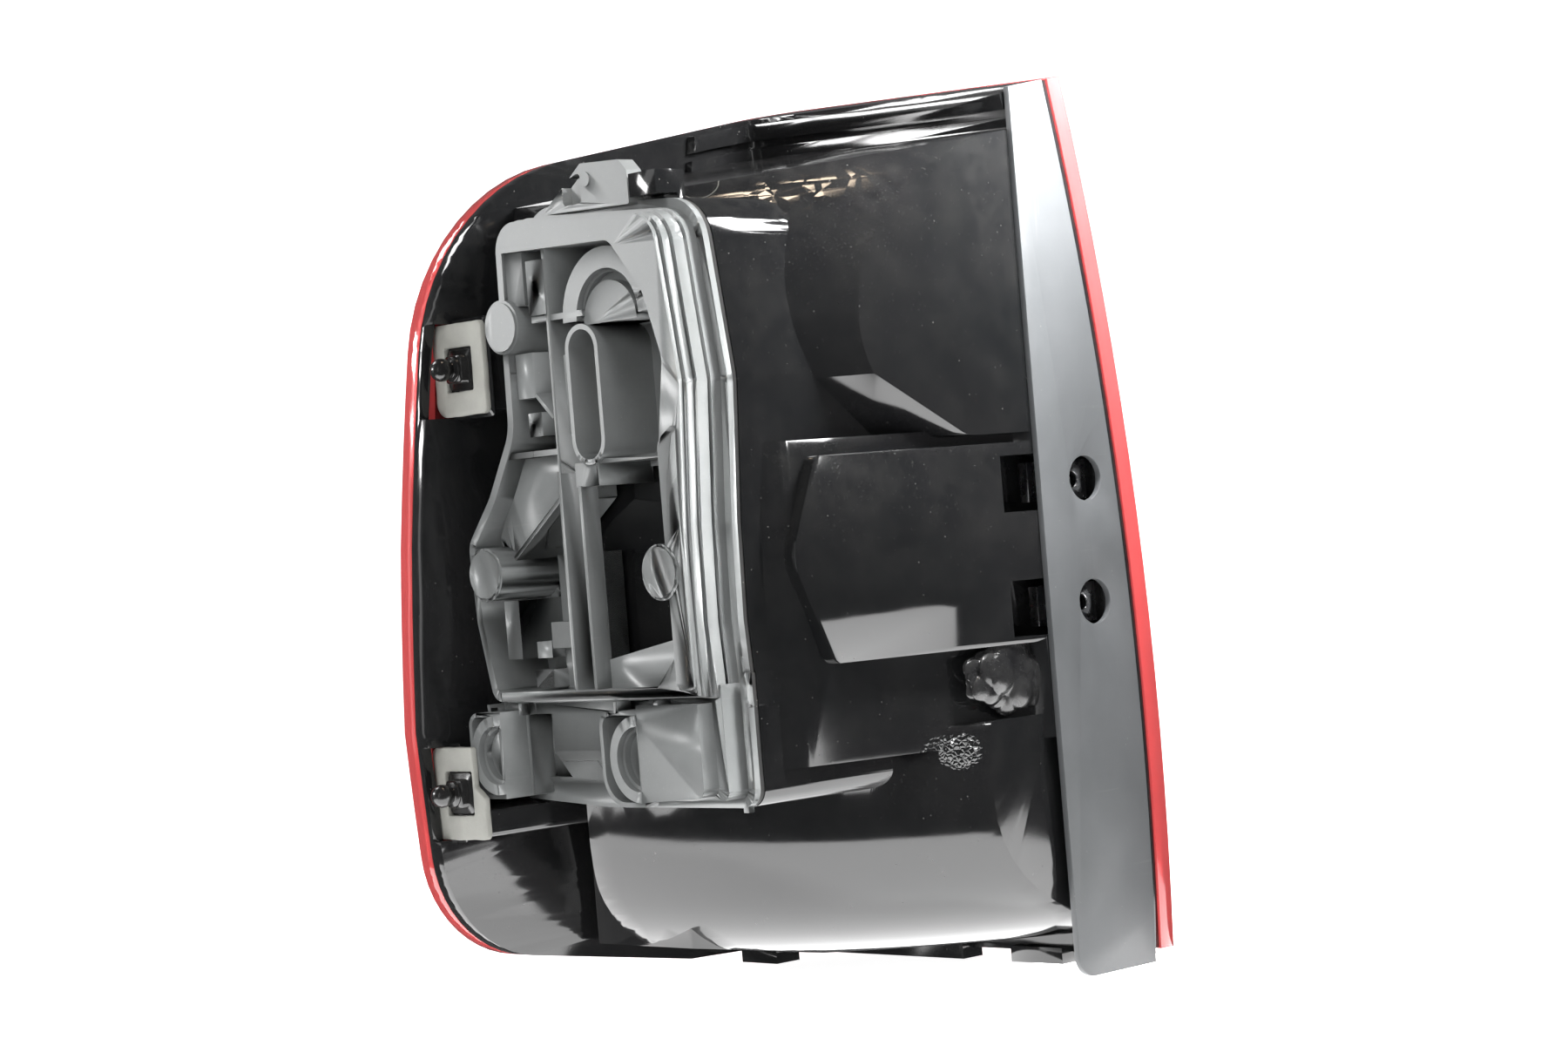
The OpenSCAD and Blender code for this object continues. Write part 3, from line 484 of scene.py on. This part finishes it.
plastics = {
    "housingBlack": {"tone": (0.006, 0.0065, 0.007, 1), "toneB": (0.011, 0.011, 0.0115, 1),
                     "grainScale": 1600.0, "blotchScale": 14.0, "dust": 0.17, "dustTone": (0.16, 0.155, 0.14, 1),
                     "scratches": 0.02, "scratchTone": (0.1, 0.1, 0.1, 1), "roughness": (0.07, 0.15),
                     "grainHeight": 0.000004,
                     "waveHeight": 0.00016, "scratchDepth": 0.00001, "ior": 1.52,
                     # marks of the ejector pins: centre and radius
                     "pins": [((-0.066, -0.140, 0.164), 0.009), ((-0.030, -0.060, -0.139), 0.0115),
                              ((-0.0085, -0.120, 0.069), 0.009), ((-0.052, -0.060, 0.170), 0.005)],
                     # rough patches: centre, half widths, ridges per metre and their height
                     "patches": [((-0.001, -0.083, -0.083), (0.012, 0.018, 0.012), 520.0, 0.0006),
                                 ((-0.027, -0.105, 0.156), (0.034, 0.034, 0.019), 85.0, 0.00032)]},
    "stripGrey": {"tone": (0.076, 0.08, 0.083, 1), "toneB": (0.094, 0.098, 0.102, 1), "grainScale": 2600.0,
                  "blotchScale": 26.0, "dust": 0.16, "dustTone": (0.16, 0.16, 0.155, 1), "scratches": 0.3,
                  "scratchTone": (0.13, 0.13, 0.13, 1), "roughness": (0.42, 0.52), "grainHeight": 0.00004,
                  "waveHeight": 0.0001, "scratchDepth": 0.00002},
    "carrierGrey": {"tone": (0.128, 0.136, 0.138, 1), "toneB": (0.165, 0.173, 0.175, 1), "grainScale": 2200.0,
                    "blotchScale": 30.0, "dust": 0.16, "dustTone": (0.42, 0.43, 0.42, 1), "scratches": 0.15,
                    "scratchTone": (0.3, 0.3, 0.3, 1), "roughness": (0.3, 0.42), "grainHeight": 0.00002,
                    # strength of the painted highlight along the carrier's convex edges
                    "waveHeight": 0.0001, "scratchDepth": 0.00002, "edgeHighlight": 0.22},
    "studBlack": {"tone": (0.006, 0.006, 0.006, 1), "toneB": (0.011, 0.011, 0.011, 1), "grainScale": 2200.0,
                  "blotchScale": 60.0, "dust": 0.06, "dustTone": (0.2, 0.19, 0.17, 1), "scratches": 0.3,
                  "scratchTone": (0.15, 0.15, 0.15, 1), "roughness": (0.16, 0.26), "grainHeight": 0.00001,
                  "waveHeight": 0.00005, "scratchDepth": 0.00001},
    "padFoam": {"tone": (0.29, 0.29, 0.265, 1), "toneB": (0.35, 0.35, 0.32, 1), "grainScale": 1400.0,
                "blotchScale": 90.0, "dust": 0.1, "dustTone": (0.25, 0.24, 0.22, 1), "scratches": 0.0,
                "scratchTone": (0.3, 0.3, 0.3, 1), "roughness": (0.75, 0.9), "grainHeight": 0.00012,
                "waveHeight": 0.0002, "scratchDepth": 0.0},
    "sealantBlack": {"tone": (0.008, 0.008, 0.009, 1), "toneB": (0.02, 0.02, 0.02, 1), "grainScale": 1400.0,
                     "blotchScale": 80.0, "dust": 0.3, "dustTone": (0.2, 0.2, 0.19, 1), "scratches": 0.2,
                     "scratchTone": (0.15, 0.15, 0.15, 1), "roughness": (0.12, 0.3), "grainHeight": 0.00002,
                     "waveHeight": 0.0003, "scratchDepth": 0.00001},
    "sealRubber": {"tone": (0.015, 0.015, 0.015, 1), "toneB": (0.025, 0.025, 0.025, 1), "grainScale": 1800.0,
                   "blotchScale": 60.0, "dust": 0.25, "dustTone": (0.2, 0.19, 0.17, 1), "scratches": 0.0,
                   "scratchTone": (0.1, 0.1, 0.1, 1), "roughness": (0.7, 0.85), "grainHeight": 0.00006,
                   "waveHeight": 0.0001, "scratchDepth": 0.0},
}
clears = {
    "lensRed": {"tone": (0.74, 0.11, 0.11, 1), "toneB": (0.68, 0.09, 0.092, 1), "grainScale": 800.0,
                "blotchScale": 18.0, "transmission": 0.4, "ior": 1.49, "roughness": (0.06, 0.1),
                "waveHeight": 0.00005},
    "bulbClear": {"tone": (0.96, 0.97, 0.98, 1), "toneB": (0.93, 0.94, 0.95, 1), "grainScale": 800.0,
                  "blotchScale": 60.0, "transmission": 1.0, "ior": 1.45, "roughness": (0.0, 0.02),
                  "waveHeight": 0.00003},
    "bulbAmber": {"tone": (0.95, 0.38, 0.03, 1), "toneB": (0.9, 0.33, 0.02, 1), "grainScale": 800.0,
                  "blotchScale": 60.0, "transmission": 1.0, "ior": 1.45, "roughness": (0.0, 0.03),
                  "waveHeight": 0.00003},
}
metals = {
    "reflectorMetal": {"tone": (0.86, 0.86, 0.88, 1), "toneB": (0.82, 0.82, 0.84, 1), "grainScale": 900.0,
                       "blotchScale": 30.0, "roughness": (0.06, 0.12), "grainHeight": 0.000004},
    "springSteel": {"tone": (0.72, 0.73, 0.75, 1), "toneB": (0.6, 0.6, 0.6, 1), "grainScale": 2600.0,
                    "blotchScale": 120.0, "roughness": (0.2, 0.34), "grainHeight": 0.00001},
    "contactTin": {"tone": (0.7, 0.66, 0.55, 1), "toneB": (0.6, 0.5, 0.32, 1), "grainScale": 2600.0,
                   "blotchScale": 160.0, "roughness": (0.25, 0.4), "grainHeight": 0.00001},
    "bulbMetal": {"tone": (0.74, 0.62, 0.36, 1), "toneB": (0.62, 0.5, 0.28, 1), "grainScale": 2600.0,
                  "blotchScale": 160.0, "roughness": (0.22, 0.36), "grainHeight": 0.00001},
}
finishes = {name: plasticMaterial(name, look) for name, look in plastics.items()}
finishes.update({name: clearMaterial(name, look) for name, look in clears.items()})
finishes.update({name: metalMaterial(name, look) for name, look in metals.items()})
print("finishes made:", len(finishes))

# Each solid's finish and the width of its softened edges, in millimetres
dressing = {
    "housing": ("housingBlack", 0.5), "side_strip": ("stripGrey", 0.6), "lens": ("lensRed", 0.5),
    "lens_seal": ("sealRubber", 0.0), "reflector": ("reflectorMetal", 0.0),
    "bulb_carrier": ("carrierGrey", 0.5), "carrier_seal": ("sealRubber", 0.3),
    "clip_nuts": ("springSteel", 0.2), "ball_stud_upper": ("studBlack", 0.3),
    "ball_stud_lower": ("studBlack", 0.3), "stud_pad_upper": ("padFoam", 0.8),
    "stud_pad_lower": ("padFoam", 0.8), "terminal_blades": ("contactTin", 0.15),
    "contact_track_common": ("contactTin", 0.0), "contact_track_feed": ("contactTin", 0.0),
    "bulb_stop_base": ("bulbMetal", 0.3), "bulb_stop_glass": ("bulbClear", 0.0),
    "bulb_turn_base": ("bulbMetal", 0.3), "bulb_turn_glass": ("bulbAmber", 0.0),
    "bulb_reverse_base": ("bulbMetal", 0.3), "bulb_reverse_glass": ("bulbClear", 0.0),
    "bulb_fog_base": ("bulbMetal", 0.3), "bulb_fog_glass": ("bulbClear", 0.0),
}

softening = {
    "join": 0.00001,    # metres between corners that are welded
    "segments": 2,
    "bevelFrom": 25,    # degrees between faces from which an edge is softened
    "splitFrom": 30,    # degrees from which an edge without softening stays crisp
}


def dressNode(name, finish, edge):
    piece = nodes[name]
    piece.data.materials.clear()
    piece.data.materials.append(finishes[finish])
    piece.data.shade_smooth()
    weld = piece.modifiers.new("joinFaces", "WELD")
    weld.merge_threshold = softening["join"]
    if edge > 0:
        bevel = piece.modifiers.new("softEdges", "BEVEL")
        bevel.width = edge / 1000
        bevel.segments = softening["segments"]
        bevel.limit_method = "ANGLE"
        bevel.angle_limit = np.radians(softening["bevelFrom"])
        bevel.harden_normals = True
    else:
        split = piece.modifiers.new("crispEdges", "EDGE_SPLIT")
        split.split_angle = np.radians(softening["splitFrom"])


for name, (finish, edge) in dressing.items():
    dressNode(name, finish, edge)
print("solids dressed")


# New pieces: surfaces on a grid that closes round u, in millimetres, welded at their seams and poles
steps = {"bend": 8, "outline": 1600, "pad": 360, "floor": 120, "stud": 64, "ball": 20, "lump": (160, 90)}


def gridPiece(name, points, finish, closedV=False):
    n, m = points.shape[:2]
    i = np.arange(n)[:, None]
    k = np.arange(m if closedV else m - 1)[None, :]
    iNext, kNext = (i + 1) % n, (k + 1) % m
    faces = np.stack([i * m + k, iNext * m + k, iNext * m + kNext, i * m + kNext], -1).reshape(-1, 4)
    mesh = bpy.data.meshes.new(name)
    mesh.from_pydata((points.reshape(-1, 3) / 1000).tolist(), [], faces.tolist())
    work = bmesh.new()
    work.from_mesh(mesh)
    bmesh.ops.remove_doubles(work, verts=work.verts, dist=1e-6)
    bmesh.ops.recalc_face_normals(work, faces=work.faces)
    work.to_mesh(mesh)
    work.free()
    mesh.shade_smooth()
    mesh.materials.append(finishes[finish])
    piece = bpy.data.objects.new(name, mesh)
    bpy.context.scene.collection.objects.link(piece)
    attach(piece, "root")
    return piece


foamPads = {
    # node, middle of the stud in X and Z, front plane, and corners as x, z and bend radius
    "foamPadUpper": {"node": "stud_pad_upper", "middle": (-171.0, 95.0), "front": -193.5,
                     "outline": [(-17.5, -20, 6.5), (17.5, -20, 3), (17.5, 20, 3), (-17.5, 20, 3.5)]},
    "foamPadLower": {"node": "stud_pad_lower", "middle": (-183.0, -87.0), "front": -202.5,
                     "outline": [(-17.5, -20, 2.5), (17.5, -20, 2.5), (17.5, -2, 2), (10.8, 3, 2),
                                 (10.8, 20, 1.2), (-17.5, 20, 4)]},
}
foamCut = {
    "hole": [(-9.5, -9.5, 1.2), (9.5, -9.5, 1.2), (9.5, 9.5, 1.2), (-9.5, 9.5, 1.2)],
    "wobble": 0.12,        # how far the knife strayed
    "waves": [(1.0, 3, 0.7), (0.6, 8, 2.1), (0.4, 17, 0.0)],  # its waves: height, count round the pad, start
    # closed section: share of the way from rim to hole, inset from the cut, depth from the front
    "section": [(0, 0, 1.5), (0, 0, 0.6), (0, 0.18, 0.18), (0, 0.6, 0), (0.25, 0.6, -0.1), (0.5, 0.6, -0.14),
                (0.75, 0.6, -0.1), (1, 0.6, 0), (1, 0.18, 0.18), (1, 0, 0.6), (1, 0, 1.5), (1, 0, 2.7),
                (1, 0.3, 3), (0.5, 0.3, 3), (0, 0.3, 3), (0, 0, 2.7)],
}


def cornerArc(before, corner, after, radius):
    # Arc tangent to both sides: the chord between the two touching points, pushed out to the radius
    a, b = (v / np.linalg.norm(v) for v in (before - corner, after - corner))
    half = np.arccos(a @ b) / 2
    centre = corner + (a + b) / np.linalg.norm(a + b) * radius / np.sin(half)
    t = np.linspace(0, 1, steps["bend"])[:, None]
    chord = (corner + a * radius / np.tan(half)) * (1 - t) + (corner + b * radius / np.tan(half)) * t - centre
    return centre + chord / np.linalg.norm(chord, axis=1, keepdims=True) * radius


def radiusAround(corners, angles):
    # Distance from the middle to a rounded outline, along each angle
    spots = np.array([c[:2] for c in corners], float)
    loop = np.concatenate([cornerArc(spots[i - 1], spots[i], spots[(i + 1) % len(spots)], c[2])
                           for i, c in enumerate(corners)])
    loop = np.concatenate([loop, loop[:1]])
    run = np.concatenate([[0.0], np.cumsum(np.linalg.norm(np.diff(loop, axis=0), axis=1))])
    dense = np.linspace(0, run[-1], steps["outline"], endpoint=False)
    x, z = np.interp(dense, run, loop[:, 0]), np.interp(dense, run, loop[:, 1])
    return np.interp(angles, np.arctan2(z, x), np.hypot(x, z), period=2 * np.pi)


def cutFoamPad(name, spec):
    # P(u, k) = middle + r * (cos u, sin u); r runs from rim to hole by the section's share and inset
    u = np.linspace(-np.pi, np.pi, steps["pad"], endpoint=False)[:, None]
    stray = foamCut["wobble"] * sum(h * np.sin(count * u + start) for h, count, start in foamCut["waves"])
    rim, hole = radiusAround(spec["outline"], u) + stray, radiusAround(foamCut["hole"], u) + 0.5 * stray
    share, inset, depth = np.array(foamCut["section"], float).T[:, None, :]
    r = (1 - share) * (rim - inset) + share * (hole + inset)
    x, z = spec["middle"][0] + r * np.cos(u), spec["middle"][1] + r * np.sin(u)
    points = np.stack([x, spec["front"] + depth + 0 * r, z], -1)
    piece = gridPiece(name, points, "padFoam", closedV=True)
    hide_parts(spec["node"])


# Floor of the rim behind each pad, inside the lens's wall: middle in X and Z, front and back planes, corners
rimFloors = {
    "rimFloorUpper": {"middle": (-172.0, 95.0), "planes": (-190.4, -189.6),
                      "outline": [(-23.0, -21.5, 1), (20, -21.5, 2), (20, 21.5, 2), (-17.3, 21.5, 1)]},
    "rimFloorLower": {"middle": (-193.0, -87.0), "planes": (-199.4, -198.6),
                      "outline": [(-11.4, -21.5, 1), (9, -21.5, 2), (9, 21.5, 2), (-11.4, 21.5, 1)]},
}


def layRimFloor(name, spec):
    # The rounded outline carried from front to back plane, and drawn in to its middle on both faces
    u = np.linspace(-np.pi, np.pi, steps["floor"], endpoint=False)[:, None]
    r = radiusAround(spec["outline"], u) * np.array([0.0, 1.0, 1.0, 0.0])
    front, back = spec["planes"]
    points = np.stack([spec["middle"][0] + r * np.cos(u), np.array([front, front, back, back]) + 0 * r,
                       spec["middle"][1] + r * np.sin(u)], -1)
    gridPiece(name, points, "housingBlack")


for name, spec in foamPads.items():
    cutFoamPad(name, spec)
for name, spec in rimFloors.items():
    layRimFloor(name, spec)
print("foam pads cut")

studs = {
    "studUpper": {"node": "ball_stud_upper", "middle": (-171.0, 95.0), "front": -193.5},
    "studLower": {"node": "ball_stud_lower", "middle": (-183.0, -87.0), "front": -202.5},
}
# Profile from the root to the ball: radius, distance in front of the pad's face, and how square it is
studProfile = [(0, -3, 0), (9, -3, 1), (9, -1.4, 1), (8.7, -1.1, 1), (6.3, -1, 0.8), (6, -0.7, 0.8),
               (6, 2.4, 0.8), (5.8, 2.7, 0.5), (5.2, 2.9, 0), (5.4, 3.2, 0), (5.4, 3.8, 0), (5.1, 4.1, 0),
               (3.5, 4.2, 0), (3.3, 4.5, 0)]
studBall = {"radius": 5, "ahead": 9, "from": 41}  # millimetres, and degrees round the ball from the neck


def turnStud(name, spec):
    # A profile turned round Y, then a ball; its squareness q makes the round a superellipse of power 2 + 6q
    ball = np.radians(np.linspace(studBall["from"], 180, steps["ball"]))
    cap = (studBall["radius"] * np.sin(ball), studBall["ahead"] - studBall["radius"] * np.cos(ball), 0 * ball)
    radius, ahead, square = (np.concatenate([part, more])
                             for part, more in zip(np.array(studProfile, float).T, cap))
    u = np.linspace(0, 2 * np.pi, steps["stud"], endpoint=False)[:, None]
    power = 2 + 6 * square
    r = radius * (np.abs(np.cos(u)) ** power + np.abs(np.sin(u)) ** power) ** (-1 / power)
    points = np.stack([spec["middle"][0] + r * np.cos(u), spec["front"] - ahead + 0 * r,
                       spec["middle"][1] + r * np.sin(u)], -1)
    piece = gridPiece(name, points, "studBlack")
    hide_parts(spec["node"])


for name, spec in studs.items():
    turnStud(name, spec)
print("studs turned")

sealant = {
    "middle": (-2.0, -46.0, -54.0), "half": (4.5, 24.0, 13.0), "crumple": 0.34,
    # folds: height, counts along u and v, and start; the level is taken off their sum
    "folds": [(1.0, 1, 2.2, 0.0), (0.6, 2, -3.1, 1.0), (0.4, 1, 6, 0.0)], "level": 0.9,
}


def squeezeSealant(spec):
    # Ellipsoid whose radius is folded by the absolute values of a few crossing waves
    u = np.linspace(0, 2 * np.pi, steps["lump"][0], endpoint=False)[:, None]
    v = np.linspace(0, np.pi, steps["lump"][1])[None, :]
    folds = sum(h * np.abs(np.sin(p * u + q * v + start)) for h, p, q, start in spec["folds"]) - spec["level"]
    r = 1 + spec["crumple"] * folds * np.sin(v)
    a, b, c = spec["half"]
    points = np.stack([spec["middle"][0] + a * r * np.cos(u) * np.sin(v),
                       spec["middle"][1] + b * r * np.cos(v) + 0 * u,
                       spec["middle"][2] + c * r * np.sin(u) * np.sin(v)], -1)
    gridPiece("sealantLump", points, "sealantBlack")


squeezeSealant(sealant)
print("sealant squeezed out")
